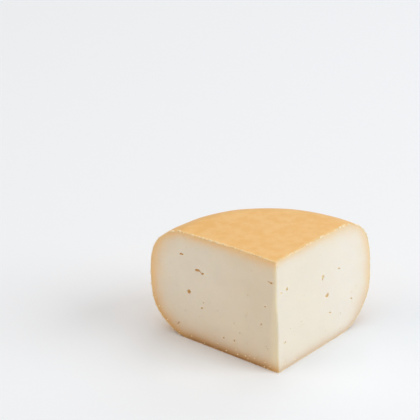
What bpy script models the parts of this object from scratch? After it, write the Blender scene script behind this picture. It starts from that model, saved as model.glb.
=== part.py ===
"""A quarter wedge of a goat gouda wheel, at its real size, standing on its flat base.

The wheel is a turned profile: a slightly domed top, a full shoulder, a bulging belly and a flat base.
Two straight knife cuts, which meet a little in front of the wheel's middle, leave the quarter. Small
irregular eyes open in both cut faces, and the cut left the rim of the rind a little ragged.

The cut corner points to -Y, and the origin is on the ground, in the middle of the wedge's box.
"""

import math
import random

import bmesh
import bpy
import numpy as np
from mathutils import Matrix, Vector, noise

MM = 0.001

# The wheel's profile. A shoulder is a quarter of a superellipse, and its two powers shape it.
WHEEL_RADIUS = 120.0 * MM
BELLY_HEIGHT = 44.3 * MM
SHOULDER_HEIGHT = 100.0 * MM
DOME_RISE = 2.3 * MM
TOP_RADIUS = 84.0 * MM
TOP_RUN_POWER = 1.535
TOP_RISE_POWER = 3.49
BASE_RADIUS = 85.8 * MM
BASE_RUN_POWER = 1.32
BASE_RISE_POWER = 2.74

# How finely the wheel is turned.
TURN_STEPS = 144
DOME_RINGS = 7
SHOULDER_RINGS = 13

# The rind's slow unevenness, which fades out towards the flat base.
UNEVEN_HEIGHT = 1.2 * MM
UNEVEN_LENGTH = 42.0 * MM
UNEVEN_FADE = 22.0 * MM

# The two cuts. They meet at the cut corner, whose edge leans as it rises.
CORNER = Vector((3.5 * MM, -67.3 * MM, 0.0))
AXIS_FROM_CORNER = Vector((-5.1 * MM, 15.3 * MM, 0.0))
CORNER_LEAN = Vector((-3.45 * MM, -0.73 * MM, SHOULDER_HEIGHT)) / SHOULDER_HEIGHT
HALF_ANGLE = math.radians(45.2)
CUT_REACH = 165.0 * MM
CUT_FLOOR = -10.0 * MM
CUT_CEILING = 115.0 * MM
CUT_GRID = 11
CUT_GRADING = 1.6

# Where the knife was pushed down again, it left a shallow step in the corner's edge.
STEP_SWELL = 0.6 * MM
STEP_HEIGHT = 52.0 * MM
STEP_REACH = 12.0 * MM
STEP_FADE = 20.0 * MM

# Eyes: cut face, distance from the corner's edge, height, then the opening's width, height and
# depth, in millimetres, and the slope of its width in degrees, anticlockwise as seen from outside.
# A crooked eye takes two or three rows.
EYES = (
    ("left", 99.1, 78.9, 3.3, 1.6, 1.8, 31),
    ("left", 97.5, 78.9, 2.6, 1.5, 1.6, 5),
    ("left", 82.0, 69.0, 5.6, 2.4, 2.6, 14),
    ("left", 79.1, 68.3, 2.6, 1.4, 1.5, -20),
    ("left", 76.7, 67.4, 3.2, 2.0, 2.2, 27),
    ("left", 92.0, 45.8, 4.4, 3.8, 3.0, 48),
    ("left", 78.9, 34.5, 2.7, 1.4, 1.5, 27),
    ("left", 7.1, 82.4, 2.5, 1.2, 1.1, 6),
    ("left", 4.7, 82.0, 3.1, 1.7, 1.7, 18),
    ("left", 16.5, 40.2, 2.8, 1.2, 1.4, 53),
    ("left", 105.1, 11.9, 4.3, 1.1, 1.5, 47),
    ("left", 45.2, 15.2, 2.3, 1.5, 1.5, 64),
    ("left", 56.5, 14.2, 2.3, 1.4, 1.2, 36),
    ("right", 62.3, 64.5, 4.6, 2.6, 1.5, -23),
    ("right", 61.8, 62.3, 2.7, 1.8, 1.2, -52),
    ("right", 66.7, 44.3, 4.5, 2.2, 2.4, -29),
    ("right", 68.5, 45.0, 3.5, 2.4, 2.0, 82),
    ("right", 84.5, 63.4, 4.1, 1.2, 1.3, -26),
    ("right", 14.1, 72.2, 3.5, 2.1, 1.5, -44),
    ("right", 7.0, 71.5, 4.2, 1.7, 0.9, -24),
    ("right", 101.0, 28.4, 3.4, 1.6, 1.4, -28),
    ("right", 71.1, 27.1, 3.4, 1.3, 1.2, -30),
    ("right", 9.7, 24.9, 3.1, 1.5, 0.9, 23),
)
EYE_ROUGHNESS = 0.22
EYE_LIFT = 0.15

# Nicks along the rim of each cut face.
NICKS_PER_RIM = 14
NICK_LENGTH = (1.4 * MM, 3.0 * MM)
NICK_DEPTH = (0.35 * MM, 0.7 * MM)
SEED = 7

RIND_COLOUR = (0.79, 0.46, 0.18, 1.0)
PASTE_COLOUR = (0.84, 0.79, 0.66, 1.0)


def material(name, colour, roughness):
    made = bpy.data.materials.new(name)
    made.use_nodes = True
    shader = made.node_tree.nodes["Principled BSDF"]
    shader.inputs["Base Color"].default_value = colour
    shader.inputs["Roughness"].default_value = roughness
    shader.inputs["Metallic"].default_value = 0.0
    made.diffuse_color = colour
    return made


def collection(name, hidden=False):
    made = bpy.data.collections.new(name)
    made.hide_render = hidden
    bpy.context.scene.collection.children.link(made)
    return made


def add_object(name, mesh, home, look):
    mesh.materials.append(look)
    made = bpy.data.objects.new(name, mesh)
    home.objects.link(made)
    return made


def add_cutter(name, mesh, home, look):
    made = add_object(name, mesh, home, look)
    made.hide_render = True
    made.display_type = "WIRE"
    return made


def evenly(path, steps):
    """The same path in steps of one length."""
    lengths = np.hypot(*np.diff(path, axis=0).T)
    travelled = np.concatenate([[0.0], np.cumsum(lengths)])
    stops = np.linspace(0.0, travelled[-1], steps + 1)
    return np.column_stack([np.interp(stops, travelled, column) for column in path.T])


def shoulder(flat_radius, flat_height, run_power, rise_power):
    """(radius, height) along a quarter superellipse, from the flat to the belly."""
    turn = np.linspace(math.pi / 2, 0.0, 240)
    run = (WHEEL_RADIUS - flat_radius) * np.cos(turn).clip(0.0) ** (2 / run_power)
    rise = (flat_height - BELLY_HEIGHT) * np.sin(turn) ** (2 / rise_power)
    path = np.column_stack([flat_radius + run, BELLY_HEIGHT + rise])
    return evenly(path, SHOULDER_RINGS)


def wheel_profile():
    """(radius, height) from the middle of the top, over the belly, to the middle of the base."""
    radius = np.linspace(0.0, TOP_RADIUS, DOME_RINGS + 1)
    height = SHOULDER_HEIGHT + DOME_RISE * (1 - (radius / TOP_RADIUS) ** 2)
    dome = np.column_stack([radius, height])
    upper = shoulder(TOP_RADIUS, SHOULDER_HEIGHT, TOP_RUN_POWER, TOP_RISE_POWER)
    lower = shoulder(BASE_RADIUS, 0.0, BASE_RUN_POWER, BASE_RISE_POWER)[::-1]
    return np.vstack([dome, upper[1:], lower[1:], [[0.0, 0.0]]])


def wheel_mesh(profile):
    points = [(radius, 0.0, height) for radius, height in profile]
    links = [(i, i + 1) for i in range(len(points) - 1)]
    mesh = bpy.data.meshes.new("cheese_wedge")
    mesh.from_pydata(points, links, [])
    return mesh


def turn(wheel):
    screw = wheel.modifiers.new("turn", "SCREW")
    screw.axis = "Z"
    screw.angle = math.tau
    screw.steps = TURN_STEPS
    screw.render_steps = TURN_STEPS
    screw.use_merge_vertices = True
    screw.merge_threshold = 0.00005
    screw.use_smooth_shade = True


def make_uneven(wheel, profile):
    """Soft hollows and swellings in the rind, none at the base."""
    soft = wheel.vertex_groups.new(name="soft_rind")
    for index, (_, height) in enumerate(profile):
        soft.add([index], min(1.0, height / UNEVEN_FADE), "REPLACE")
    clouds = bpy.data.textures.new("rind_unevenness", "CLOUDS")
    clouds.noise_scale = UNEVEN_LENGTH
    clouds.noise_depth = 1
    displace = wheel.modifiers.new("uneven", "DISPLACE")
    displace.texture = clouds
    displace.texture_coords = "LOCAL"
    displace.direction = "NORMAL"
    displace.mid_level = 0.5
    displace.strength = UNEVEN_HEIGHT
    displace.vertex_group = soft.name


def away_from_corner(face):
    """The level direction that a cut face takes from the corner."""
    side = -1.0 if face == "left" else 1.0
    return Vector((side * math.sin(HALF_ANGLE), math.cos(HALF_ANGLE), 0.0))


def corner_at(height):
    return CORNER + CORNER_LEAN * height


def face_frame(face, along, up, slope=0.0):
    """A frame on a cut face: X level and to the right as seen from outside, Y up it, Z outward."""
    level = away_from_corner(face)
    rightward = -level if face == "left" else level
    outward = rightward.cross(CORNER_LEAN).normalized()
    rising = outward.cross(rightward)
    turned = Matrix((rightward, rising, outward)).transposed().to_4x4()
    place = Matrix.Translation(corner_at(up) + level * along)
    return place @ turned @ Matrix.Rotation(math.radians(slope), 4, "Z")


def knife_step(height):
    """How far the corner's edge stands off its straight line: right below the step, left above."""
    below = (STEP_HEIGHT - height) / STEP_REACH
    return STEP_SWELL * below * math.exp((1 - below**2) / 2)


def knife_block_mesh():
    """The space between the two cuts, as a block whose front edge is the corner's."""
    shape = bmesh.new()
    bmesh.ops.create_cube(shape, size=1.0)
    bmesh.ops.subdivide_edges(shape, edges=shape.edges[:], cuts=CUT_GRID, use_grid_fill=True)
    left = away_from_corner("left")
    right = away_from_corner("right")
    for vertex in shape.verts:
        on_right = (vertex.co.x + 0.5) ** CUT_GRADING * CUT_REACH
        on_left = (vertex.co.y + 0.5) ** CUT_GRADING * CUT_REACH
        height = CUT_FLOOR + (vertex.co.z + 0.5) * (CUT_CEILING - CUT_FLOOR)
        fade = math.exp(-(on_left + on_right) / STEP_FADE)
        step = Vector((knife_step(height) * fade, 0.0, 0.0))
        vertex.co = corner_at(height) + left * on_left + right * on_right + step
    mesh = bpy.data.meshes.new("knife_block")
    shape.to_mesh(mesh)
    shape.free()
    return mesh


def pebble_mesh(name, size, detail, seat):
    """An irregular rounded lump of the given size, the same each time for one seat."""
    shape = bmesh.new()
    bmesh.ops.create_icosphere(shape, subdivisions=detail, radius=0.5)
    for vertex in shape.verts:
        uneven = 1.0 + EYE_ROUGHNESS * noise.noise(vertex.co * 3.0 + Vector((seat, 0.0, 0.0)))
        vertex.co = Vector(a * b for a, b in zip(vertex.co * uneven, size))
    for face in shape.faces:
        face.smooth = True
    mesh = bpy.data.meshes.new(name)
    shape.to_mesh(mesh)
    shape.free()
    return mesh


def add_eyes(home, look):
    for number, (face, along, up, width, height, depth, slope) in enumerate(EYES):
        size = (width * MM, height * MM, 2 * depth * MM)
        name = f"eye_{number:02d}"
        eye = add_cutter(name, pebble_mesh(name, size, 2, number * 1.7), home, look)
        lift = Matrix.Translation((0.0, 0.0, EYE_LIFT * depth * MM))
        eye.matrix_world = face_frame(face, along * MM, up * MM, slope) @ lift


def rim_path(face, profile):
    """(distance from the corner's edge, height) along the rim of a cut face, top to bottom."""
    level = away_from_corner(face)
    path = []
    for radius, height in profile:
        axis = CORNER + AXIS_FROM_CORNER - corner_at(height)
        ahead = axis.x * level.x + axis.y * level.y
        beside_squared = axis.x**2 + axis.y**2 - ahead**2
        if radius**2 > beside_squared and height > 0.0:
            path.append((ahead + math.sqrt(radius**2 - beside_squared), height))
    return np.array([point for point in path if point[0] > 0.0])


def add_nicks(home, look, profile):
    draw = random.Random(SEED)
    for face in ("left", "right"):
        path = evenly(rim_path(face, profile), NICKS_PER_RIM * 8)
        for number in range(NICKS_PER_RIM):
            spot = 1 + number * 8 + draw.randrange(6)
            along, up = path[spot]
            run, rise = path[spot + 1] - path[spot]
            slope = math.degrees(math.atan2(rise, -run if face == "left" else run))
            depth = draw.uniform(*NICK_DEPTH)
            size = (draw.uniform(*NICK_LENGTH), 2 * depth, 3 * depth)
            name = f"nick_{face}_{number:02d}"
            nick = add_cutter(name, pebble_mesh(name, size, 1, number * 2.3), home, look)
            lift = Matrix.Translation((0.0, 0.0, EYE_LIFT * depth))
            nick.matrix_world = face_frame(face, along, up, slope) @ lift


def cut(wheel, operation, cutter=None, cutters=None):
    boolean = wheel.modifiers.new(operation.lower(), "BOOLEAN")
    boolean.operation = operation
    boolean.solver = "EXACT"
    boolean.material_mode = "TRANSFER"
    if cutters:
        boolean.operand_type = "COLLECTION"
        boolean.collection = cutters
    else:
        boolean.object = cutter


def clear_scene():
    for thing in list(bpy.data.objects):
        bpy.data.objects.remove(thing, do_unlink=True)


def main():
    clear_scene()
    model = collection("goat_gouda")
    cutters = collection("cutters", hidden=True)
    hollows = collection("hollows", hidden=True)
    rind = material("gouda_rind", RIND_COLOUR, 0.42)
    paste = material("gouda_paste", PASTE_COLOUR, 0.6)

    profile = wheel_profile()
    wedge = add_object("cheese_wedge", wheel_mesh(profile), model, rind)
    wedge.location = CORNER + AXIS_FROM_CORNER
    turn(wedge)
    make_uneven(wedge, profile)

    block = add_cutter("knife_block", knife_block_mesh(), cutters, paste)
    cut(wedge, "INTERSECT", cutter=block)
    add_eyes(hollows, paste)
    add_nicks(hollows, paste, profile)
    cut(wedge, "DIFFERENCE", cutters=hollows)


main()
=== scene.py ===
"""A quarter wedge of goat gouda on a plain stage, laid out as a Blender add-on and run as a script.

The wedge is a wheel's profile, swung about the corner where two knife cuts meet. It is made of its
pale paste, with eyes in both cut faces, the thin coat of rind around it, the ragged lip that the
knife left along the coat's cut edges, and the crumbs that cling there.
"""

import math

import bpy
import numpy as np
from bpy.props import FloatProperty, FloatVectorProperty, IntProperty, PointerProperty
from mathutils import Matrix, Vector

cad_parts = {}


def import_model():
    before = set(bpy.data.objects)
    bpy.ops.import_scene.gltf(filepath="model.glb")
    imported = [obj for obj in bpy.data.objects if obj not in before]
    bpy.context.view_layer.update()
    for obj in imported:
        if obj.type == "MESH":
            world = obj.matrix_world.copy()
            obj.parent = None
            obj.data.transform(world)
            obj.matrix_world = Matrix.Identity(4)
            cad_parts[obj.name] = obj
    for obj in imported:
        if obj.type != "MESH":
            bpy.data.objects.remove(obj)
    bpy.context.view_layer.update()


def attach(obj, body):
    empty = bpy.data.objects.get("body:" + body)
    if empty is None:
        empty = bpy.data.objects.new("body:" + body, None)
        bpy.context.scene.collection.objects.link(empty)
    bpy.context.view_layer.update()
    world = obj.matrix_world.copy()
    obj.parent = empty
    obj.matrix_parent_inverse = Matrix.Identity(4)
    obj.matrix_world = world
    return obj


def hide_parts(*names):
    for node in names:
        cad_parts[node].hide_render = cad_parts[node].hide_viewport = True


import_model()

bl_info = {
    "name": "Goat Gouda Wedge",
    "version": (1, 0, 0),
    "blender": (4, 5, 0),
    "location": "3D View > Sidebar > Goat Gouda",
    "description": "Builds a cut wedge of goat gouda: paste, rind, ragged lip, crumbs and stage",
    "category": "Object",
}

MM = 0.001
NODE = "cheese_wedge"
BODY = "root"

HALF_ANGLE = math.radians(45.2)

# How much closer together the mesh rows stand towards the corner: 1 is even.
CROWDING = 1.6

# Mesh columns between the cuts, for the paste's skin and for the path of the rims.
PASTE_COLUMNS = 56
RIM_COLUMNS = 24

# Points closer together than this become one. From this share of the swing on, a point is at a cut.
MERGE_DISTANCE = 0.002 * MM
OUTERMOST = 0.999

# Edges sharper than this are left sharp, in degrees: on smooth pieces and on ragged ones.
SMOOTH_PIECE = 40.0
RAGGED_PIECE = 60.0

# How deep the paste's skin and the lip's path lie beneath the rind's surface, in thicknesses of
# the coat, and how far above it the path of the crumbs lies.
PASTE_DEPTH = 0.9
LIP_DEPTH = 0.5
CRUMB_RISE = 0.1 * MM

# The lip's mesh step, and its middling and least thickness as shares of its radius.
LIP_STEP = 0.45 * MM
LIP_MIDDLING = 0.55
LIP_LEAST = 0.15

# How far round, in radians, a crumb may be turned on each axis.
TUMBLE = 3.1

# How far eyes and flecks stand out of the cut face, as a share of their depth.
EYE_RISE = 0.15
FLECK_RISE = 0.1

# How far from a rim crumbs lie, and how close to it a fleck is moved onto it.
CRUMB_SCATTER = 14.0 * MM
SNAP_DISTANCE = 2.2 * MM

# Where the rims turn from the belly to the top, as heights in millimetres.
SHOULDER = (86.0, 96.0)

# The tree inputs that hold the wheel's and the cuts' properties of the same names.
SKIN_INPUTS = (
    "Dome Rise",
    "Belly Height",
    "Unevenness",
    "Uneven Length",
    "Uneven Fade",
    "Corner",
    "Wheel Middle",
    "Lean",
    "Half Angle",
)
CUT_INPUTS = (
    "Dome Rows",
    "Shoulder Rows",
    "Step Swell",
    "Step Height",
    "Step Reach",
    "Step Fade",
    "Corner Round",
)

# Eyes of each cut face: distance from the corner's edge, height, then the opening's width, height
# and depth, in millimetres, and the slope of its width in degrees, anticlockwise as seen from
# outside. A crooked eye takes two or three rows.
LEFT_EYES = (
    (99.1, 78.9, 3.3, 1.6, 1.8, 31),
    (97.5, 78.9, 2.6, 1.5, 1.6, 5),
    (82.0, 69.0, 5.6, 2.4, 2.6, 14),
    (79.1, 68.3, 2.6, 1.4, 1.5, -20),
    (76.7, 67.4, 3.2, 2.0, 2.2, 27),
    (92.0, 45.8, 4.4, 3.8, 3.0, 48),
    (78.9, 34.5, 2.7, 1.4, 1.5, 27),
    (7.1, 82.4, 2.5, 1.2, 1.1, 6),
    (4.7, 82.0, 3.1, 1.7, 1.7, 18),
    (16.5, 40.2, 2.8, 1.2, 1.4, 53),
    (105.1, 11.9, 4.3, 1.1, 1.5, 47),
    (45.2, 15.2, 2.3, 1.5, 1.5, 64),
    (56.5, 14.2, 2.3, 1.4, 1.2, 36),
)
RIGHT_EYES = (
    (62.3, 64.5, 4.6, 2.6, 1.5, -23),
    (61.8, 62.3, 2.7, 1.8, 1.2, -52),
    (66.7, 44.3, 4.5, 2.2, 2.4, -29),
    (68.5, 45.0, 3.5, 2.4, 2.0, 82),
    (84.5, 63.4, 4.1, 1.2, 1.3, -26),
    (14.1, 72.2, 3.5, 2.1, 1.5, -44),
    (7.0, 71.5, 4.2, 1.7, 0.9, -24),
    (101.0, 28.4, 3.4, 1.6, 1.4, -28),
    (71.1, 27.1, 3.4, 1.3, 1.2, -30),
    (9.7, 24.9, 3.1, 1.5, 0.9, 23),
)

# Pinholes: distance from the corner's edge, height, width and depth, in millimetres.
LEFT_PINHOLES = (
    (76.7, 40.3, 1.3, 0.8),
    (31.7, 43.6, 1.2, 0.5),
    (32.4, 41.9, 1.2, 0.4),
    (39.2, 24.6, 1.2, 0.5),
    (36.1, 24.6, 0.8, 0.3),
    (11.7, 58.5, 1.4, 0.8),
    (11.4, 58.3, 1.2, 0.7),
    (12.1, 21.1, 1.0, 0.6),
    (10.3, 19.6, 1.1, 0.7),
    (96.9, 26.7, 1.1, 0.7),
    (103.3, 27.0, 0.7, 0.4),
    (110.3, 67.2, 0.8, 0.4),
    (99.5, 68.0, 0.7, 0.3),
    (112.8, 52.3, 0.9, 0.4),
    (105.7, 47.0, 0.8, 0.4),
    (69.9, 42.4, 0.8, 0.4),
    (61.6, 38.1, 0.8, 0.4),
    (29.4, 63.2, 1.1, 0.4),
    (24.7, 87.2, 0.9, 0.4),
    (29.8, 33.8, 0.8, 0.3),
    (32.0, 17.1, 1.0, 0.5),
    (21.4, 8.5, 1.2, 0.7),
    (6.3, 43.6, 0.8, 0.3),
)
RIGHT_PINHOLES = (
    (101.4, 34.3, 1.2, 0.5),
    (108.0, 37.6, 1.0, 0.5),
    (107.9, 34.3, 0.9, 0.4),
    (85.4, 20.7, 1.3, 0.6),
    (3.0, 97.2, 1.2, 0.6),
    (17.4, 34.7, 1.0, 0.5),
    (36.2, 57.5, 1.0, 0.4),
    (31.6, 35.2, 1.1, 0.4),
    (33.5, 31.1, 0.9, 0.4),
    (55.0, 19.7, 0.8, 0.4),
    (64.5, 12.3, 1.2, 0.5),
    (84.4, 59.4, 0.9, 0.3),
    (5.3, 12.8, 1.0, 0.4),
    (67.2, 45.1, 3.0, 1.9),
    (14.4, 73.4, 1.6, 0.9),
)

# Flecks: torn crumbs of coat and paste, larger than the scattered ones. Distance from the corner's
# edge, height, length and width, in millimetres, and slope.
LEFT_FLECKS = (
    (107.4, 98.8, 4.0, 2.0, 8),
    (99.2, 100.2, 2.8, 1.8, -30),
    (85.6, 101.3, 3.0, 1.9, -14),
    (78.1, 101.9, 1.8, 1.2, -15),
    (74.4, 101.7, 2.2, 1.8, -10),
    (66.4, 101.9, 4.0, 1.6, -12),
    (60.0, 102.3, 5.0, 1.4, -12),
    (52.4, 102.3, 4.4, 1.1, -16),
    (41.1, 102.4, 2.6, 1.0, -20),
    (33.6, 102.0, 2.4, 1.3, -10),
    (25.2, 102.7, 1.8, 1.1, 0),
    (16.0, 102.4, 1.8, 1.0, 0),
    (8.4, 102.6, 1.8, 1.0, -8),
    (126.8, 75.6, 1.2, 1.0, 80),
    (123.7, 64.5, 1.2, 1.0, 60),
    (127.2, 60.6, 1.0, 0.8, 0),
    (132.2, 52.0, 1.8, 0.7, 85),
    (129.0, 28.5, 1.4, 1.0, 70),
    (125.6, 21.3, 1.8, 1.4, 55),
    (122.2, 21.6, 3.6, 0.6, 35),
    (118.9, 21.8, 1.2, 0.9, 0),
    (122.7, 14.3, 1.2, 1.0, 0),
    (117.0, 10.9, 1.6, 1.1, 30),
    (111.1, 5.2, 1.4, 1.0, 20),
    (105.4, 9.5, 1.3, 0.9, 0),
    (104.2, 1.8, 1.6, 1.0, 0),
    (91.3, 3.8, 1.5, 1.0, 15),
    (81.0, 0.6, 1.6, 0.9, 0),
    (71.3, 0.9, 1.4, 0.9, 0),
    (63.0, 6.6, 1.3, 0.9, 0),
    (58.4, 1.8, 1.2, 1.0, 0),
    (54.1, 2.8, 1.4, 1.1, 0),
    (42.2, 3.2, 1.8, 0.9, -25),
    (34.1, 4.7, 1.6, 1.2, 0),
    (29.7, 6.4, 1.1, 0.9, 0),
    (24.5, 5.7, 1.5, 1.0, -20),
    (31.5, 2.8, 1.0, 0.8, 0),
    (13.3, 5.7, 1.4, 1.0, 0),
    (21.1, 1.7, 1.3, 0.8, 0),
    (8.2, 3.5, 1.2, 0.9, 0),
    (81.9, 25.6, 1.0, 0.8, 0),
    (66.3, 11.9, 1.3, 0.9, 0),
    (45.0, 31.4, 1.0, 0.7, 30),
    (31.0, 45.6, 1.4, 0.8, 20),
    (26.0, 23.4, 1.4, 0.7, 60),
)
RIGHT_FLECKS = (
    (97.5, 97.9, 1.6, 1.2, 0),
    (91.0, 98.8, 5.0, 2.0, 5),
    (86.5, 99.2, 3.4, 1.7, 8),
    (79.8, 100.3, 2.6, 1.1, 8),
    (61.5, 101.2, 4.6, 1.2, 5),
    (46.4, 101.5, 1.6, 1.0, 0),
    (41.4, 101.9, 2.0, 1.1, 0),
    (21.8, 102.8, 2.2, 0.8, 5),
    (111.4, 91.9, 2.2, 1.1, -35),
    (118.4, 86.0, 1.8, 1.0, -45),
    (122.9, 80.6, 2.6, 1.2, -60),
    (124.5, 76.1, 1.8, 1.0, -70),
    (126.8, 65.5, 1.8, 1.0, -80),
    (128.3, 55.5, 1.6, 1.0, 90),
    (126.6, 40.0, 1.2, 0.9, 80),
    (121.0, 29.5, 1.2, 0.8, 70),
    (22.4, 3.6, 1.3, 0.8, 0),
    (9.0, 5.4, 1.1, 0.8, 0),
)

# The camera, in the frame: its place in metres, which way it looks, its roll and its lens.
CAMERA_PLACE = (-0.22575, -1.76361, 0.97012)
CAMERA_TURN = math.radians(-5.839)
CAMERA_DROP = math.radians(25.654)
CAMERA_ROLL = math.radians(-0.181)
CAMERA_LENS = 205.8

# Where the lights are aimed, in the frame.
LIGHTS_AIM = Vector((0.0, 0.0, 0.05))


# Properties of each kind, made from a name, a description and a default.


def number(name, description, default, **more):
    return FloatProperty(name=name, description=description, default=default, **more)


def length(name, description, default):
    return number(name, description, default, unit="LENGTH", precision=5)


def power(name, description, default):
    return number(name, description, default, unit="POWER")


def count(name, description, default, least=0):
    return IntProperty(name=name, description=description, default=default, min=least)


def vector(name, description, default, **more):
    more = more or {"subtype": "TRANSLATION", "precision": 5}
    return FloatVectorProperty(name=name, description=description, default=default, **more)


def colour(name, description, default):
    return vector(name, description, default, subtype="COLOR", min=0.0, max=1.0)


class WheelShape(bpy.types.PropertyGroup):
    """The round wheel that the wedge was cut from."""

    wheel_radius: length("Wheel Radius", "Widest radius of the wheel", 120.0 * MM)
    belly_height: length("Belly Height", "Height of the wheel's widest ring", 44.3 * MM)
    shoulder_height: length("Shoulder Height", "Height where the top begins to fall", 100.0 * MM)
    dome_rise: length("Dome Rise", "How far the middle of the top stands higher", 2.3 * MM)
    top_radius: length("Top Radius", "Radius of the domed top", 84.0 * MM)
    top_run_power: number("Top Run Power", "Fullness of the shoulder, sideways", 1.535)
    top_rise_power: number("Top Rise Power", "Fullness of the shoulder, upwards", 3.49)
    base_radius: length("Base Radius", "Radius of the flat base", 85.8 * MM)
    base_run_power: number("Base Run Power", "Fullness of the lower curve, sideways", 1.32)
    base_rise_power: number("Base Rise Power", "Fullness of the lower curve, downwards", 2.74)
    unevenness: length("Unevenness", "Height of the rind's slow hollows and swellings", 1.0 * MM)
    uneven_length: length("Uneven Length", "Distance between two swellings", 45.0 * MM)
    uneven_fade: length("Uneven Fade", "Height over which it fades out at the base", 22.0 * MM)
    dome_rows: count("Dome Rows", "Mesh rows over the top, and over the base", 64, 4)
    shoulder_rows: count("Shoulder Rows", "Mesh rows down the shoulder and belly", 120, 8)


class CutShape(bpy.types.PropertyGroup):
    """The two knife cuts."""

    corner: vector("Corner", "Foot of the edge where the cuts meet", (3.5 * MM, -67.3 * MM, 0.0))
    wheel_middle: vector("Wheel Middle", "Axis, from the corner", (-5.1 * MM, 15.3 * MM, 0.0))
    lean: vector("Lean", "Way of the corner's edge as it rises by one", (-0.0345, -0.0073, 1.0))
    half_angle: number("Half Angle", "Half the angle between the cuts", HALF_ANGLE, subtype="ANGLE")
    step_swell: length("Step Swell", "Size of the step that the knife left in the edge", 0.6 * MM)
    step_height: length("Step Height", "Height of that step", 52.0 * MM)
    step_reach: length("Step Reach", "How far up and down the step reaches", 12.0 * MM)
    step_fade: length("Step Fade", "How far from the edge the step fades out", 20.0 * MM)
    corner_round: length("Corner Round", "Radius of the edge between the cuts", 2.2 * MM)


class PasteLook(bpy.types.PropertyGroup):
    """The pale inside of the cheese."""

    # The two cuts are one paste. The left cut's colours are a darker, warmer copy of the right's as
    # painted shade, and it grows paler away from the corner as painted light.
    ivory: colour("Ivory", "Right cut, by the corner", (0.881, 0.807, 0.675))
    milk: colour("Milk", "Right cut, far from the corner", (0.905, 0.842, 0.728))
    cream: colour("Cream", "Left cut, by the corner", (0.863, 0.735, 0.55))
    # Painted light: a pale strip on the left cut along the corner's edge, as if light came through
    # from the right cut.
    edge: colour("Edge", "Left cut, along the corner's edge", (0.955, 0.815, 0.565))
    pale: colour("Pale", "Left cut, far from the corner", (0.907, 0.815, 0.66))
    # Painted shade: the left cut darker low down, far from the corner.
    painted_foot_shade: colour("Foot", "Left cut, low down and far from the corner", (0.86, 0.70, 0.51))
    cloud: number("Cloud", "How much the paste's brightness varies", 0.016)
    # The dried paste is the cheese's own colour. On the left cut its peach is raised as a painted
    # glow under the rims, and its tan low down is partly painted contact shade.
    peach_and_glow_left: colour("Peach Left", "Dried paste beneath the rind, left cut", (1.0, 0.63, 0.29))
    peach_right: colour("Peach Right", "The same, right cut", (0.90, 0.655, 0.365))
    tan_and_shade_left: colour("Tan Left", "Dried paste low down, left cut", (0.83, 0.48, 0.175))
    tan_right: colour("Tan Right", "The same, right cut", (0.74, 0.55, 0.375))
    side_reach: length("Side Reach", "Depth of the dried paste at the belly", 8.6 * MM)
    top_reach: length("Top Reach", "Its depth beneath the top", 5.8 * MM)
    base_reach: length("Base Reach", "Its depth above the base", 6.2 * MM)
    # Painted contact shade: a brown line along the left cut's base, partly a browned edge; the
    # right cut has none.
    crust_and_contact_shade: colour("Crust", "Brown of the base's cut edge", (0.31, 0.13, 0.04))
    crust_and_shade_height: length("Crust Height", "Height of that brown on the left cut", 3.4 * MM)
    # The eyes' tan is partly their own moist colour and partly painted shade in the hollows, darker
    # on the left cut.
    eye_left: colour("Eye Left", "Inside the eyes, left cut", (0.86, 0.61, 0.31))
    eye_right: colour("Eye Right", "Inside the eyes, right cut", (0.88, 0.72, 0.45))
    eye_depth: length("Eye Depth", "Depth at which an eye has its full colour", 0.3 * MM)
    eye_roughness: number("Eye Roughness", "How lumpy the eyes' walls are", 0.25)


class RindLook(bpy.types.PropertyGroup):
    """The satin coat around the wheel, its lip and its crumbs."""

    coat: length("Coat", "Thickness of the coat", 0.9 * MM)
    orange: colour("Orange", "Deeper colour of the rind", (0.872, 0.497, 0.152))
    honey: colour("Honey", "Paler colour of the rind", (0.905, 0.554, 0.212))
    worn: colour("Worn", "Pale colour where the rind is thin", (0.93, 0.69, 0.36))
    worn_width: length("Worn Width", "How wide it is worn beside the cuts", 3.4 * MM)
    # Painted contact shade along the base, stronger on the left, partly the base rind's own browner
    # tone.
    base_brown_and_shade: colour("Base Brown", "Its colour where it meets the base", (0.33, 0.14, 0.045))
    columns: count("Columns", "Mesh columns between the cuts", 140, 8)
    lip: length("Lip", "Radius of the ragged lip along the cut edges", 0.6 * MM)
    lip_ragged: number("Lip Raggedness", "How much the lip's thickness varies", 2.6)
    lip_colour: colour("Lip Colour", "Colour of the lip", (0.98, 0.69, 0.33))
    # The palest colour is given per cut: the left cut's is warmer, as painted warm light.
    pale_left: colour("Pale Left", "Its palest flakes' colour, left cut", (1.0, 0.79, 0.49))
    pale_right: colour("Pale Right", "Its palest flakes' colour, right cut", (1.0, 0.87, 0.61))
    crumbs: count("Crumbs", "Crumbs along each cut", 130)
    crumb_size: length("Crumb Size", "Width of the largest crumbs", 1.2 * MM)
    seed: count("Seed", "Changes where lip and crumbs vary", 5)


class StageLook(bpy.types.PropertyGroup):
    """Floor, light and surroundings."""

    floor: colour("Floor", "Colour of the floor", (0.905, 0.935, 0.97))
    floor_size: length("Floor Size", "Width of the floor", 16.0)
    surroundings: number("Surroundings", "Strength of the pale light all around", 0.365)
    overhead_power: power("Overhead Power", "Power of the wide light above", 43.3)
    key_power: power("Key Power", "Power of the light at the right", 70.5)
    back_power: power("Back Power", "Power of the light behind", 20.5)
    warm_power: power("Warm Power", "Power of the warm light at the left", 25.6)


class GoatGouda(bpy.types.PropertyGroup):
    """All that a user would change on the wedge."""

    wheel: PointerProperty(type=WheelShape)
    cuts: PointerProperty(type=CutShape)
    paste: PointerProperty(type=PasteLook)
    rind: PointerProperty(type=RindLook)
    stage: PointerProperty(type=StageLook)


# Nodes.


def both_ways(operation):
    """The methods of one arithmetic sign, with the field before it and behind it."""

    def before(self, other):
        return arithmetic(self.tree, operation, self, other)

    def behind(self, other):
        return arithmetic(self.tree, operation, other, self)

    return before, behind


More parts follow.
